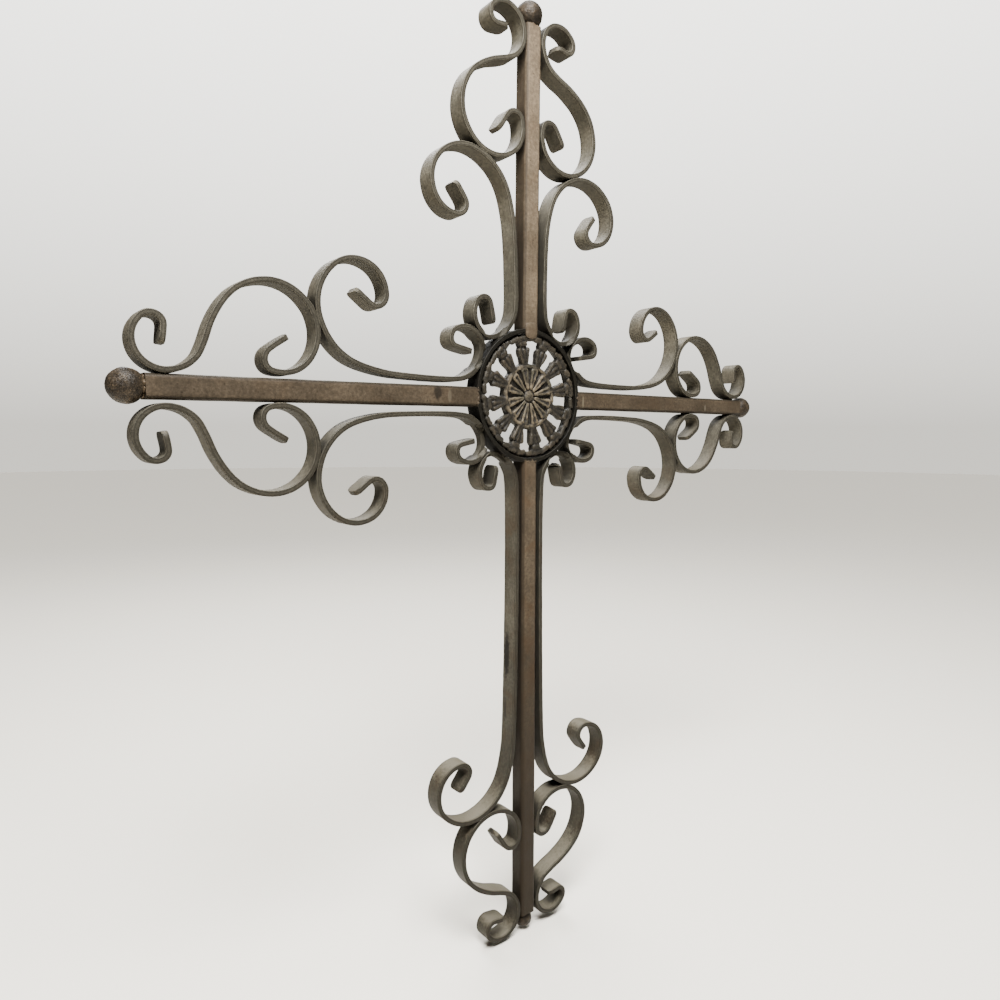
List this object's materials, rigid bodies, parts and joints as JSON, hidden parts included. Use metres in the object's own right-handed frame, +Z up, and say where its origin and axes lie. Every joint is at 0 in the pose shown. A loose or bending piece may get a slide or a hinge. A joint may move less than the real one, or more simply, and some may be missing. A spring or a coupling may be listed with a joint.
{
  "type": "wall cross",
  "caption": "Wrought iron wall cross of square bars with ball ends, a hooped openwork rosette at the crossing and flat-strap scrolls along the arms.",
  "frame": {"origin": "the fixing point on the flat back of the upper bar, 70 mm above the centre of the crossing", "axes": "+Z up along the upper arm, +Y out of the back towards the wall, +X to the viewer's right"},
  "size_m": [0.522, 0.0179, 0.6454],
  "materials": {
    "bar_iron": "satin bronze-brown lacquer, worn paler on the edges",
    "ball_iron": "satin bronze-brown lacquer, rough",
    "strap_iron": "satin olive-brown lacquer, mottled",
    "cast_rosette": "rough cast, dark with tan highlights"
  },
  "bodies": {
    "root": {"hub_ring": "strap_iron", "rosette": "cast_rosette", "upper_bar": "bar_iron", "upper_ball": "ball_iron", "long_scroll_upper_left": "strap_iron", "end_scroll_upper_left": "strap_iron", "long_scroll_upper_right": "strap_iron", "end_scroll_upper_right": "strap_iron", "right_bar": "bar_iron", "right_ball": "ball_iron", "long_scroll_right_upper": "strap_iron", "end_scroll_right_upper": "strap_iron", "long_scroll_right_lower": "strap_iron", "end_scroll_right_lower": "strap_iron", "lower_bar": "bar_iron", "lower_ball": "ball_iron", "long_scroll_lower_left": "strap_iron", "end_scroll_lower_left": "strap_iron", "long_scroll_lower_right": "strap_iron", "end_scroll_lower_right": "strap_iron", "left_bar": "bar_iron", "left_ball": "ball_iron", "long_scroll_left_upper": "strap_iron", "end_scroll_left_upper": "strap_iron", "long_scroll_left_lower": "strap_iron", "end_scroll_left_lower": "strap_iron"}
  },
  "joints": []
}
